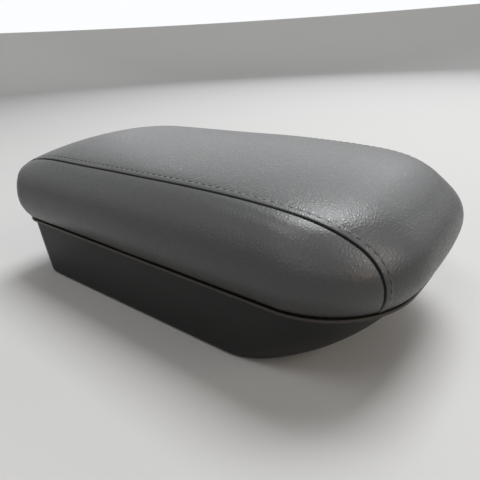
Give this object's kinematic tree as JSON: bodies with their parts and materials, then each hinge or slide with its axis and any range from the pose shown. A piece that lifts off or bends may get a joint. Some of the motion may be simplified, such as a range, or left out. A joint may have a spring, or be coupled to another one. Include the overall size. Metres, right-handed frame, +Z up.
{
  "type": "car centre armrest",
  "caption": "Padded armrest lid in seamed black leatherette, hinged at the rear of a shallow moulded storage box with a raked round front and a flat floor to bolt down.",
  "frame": {"origin": "bottom centre of the whole part, on the surface it stands on", "axes": "+X to the front (the wide round nose), +Y to the left, +Z up"},
  "size_m": [0.31, 0.1676, 0.107],
  "materials": {
    "leatherette": "fine pebble grain, satin",
    "foam": "open cell, dull",
    "plywood": "raw",
    "felt": "short felt, dull",
    "box_plastic": "fine moulded grain, satin",
    "hinge_steel": "blackened, satin",
    "zinc_steel": "zinc plated",
    "ferrite": "ground, dull",
    "rubber": "dull",
    "rubber_mat": "dull, ribbed"
  },
  "bodies": {
    "box": {"box_shell": "box_plastic", "hinge_box_leaf": "hinge_steel", "hinge_pin": "hinge_steel", "hinge_box_screws": "zinc_steel", "catch_magnet": "ferrite", "rim_bumpers": "rubber", "mounting_plate": "zinc_steel", "plate_rivets": "zinc_steel", "floor_mat": "rubber_mat"},
    "lid": {"lid_top_panel": "leatherette", "lid_side_panel_left": "leatherette", "lid_side_panel_right": "leatherette", "lid_foam": "foam", "lid_board": "plywood", "lid_lining": "felt", "lining_screws": "zinc_steel", "hinge_lid_leaf": "hinge_steel", "hinge_lid_screws": "zinc_steel", "catch_striker": "zinc_steel", "striker_screws": "zinc_steel"}
  },
  "joints": [
    {"name": "lid_hinge", "type": "hinge", "parent": "box", "child": "lid", "pos_m": [-0.14835, 0, 0.047], "axis": [0, -1, 0], "range_deg": [0, 95]}
  ]
}
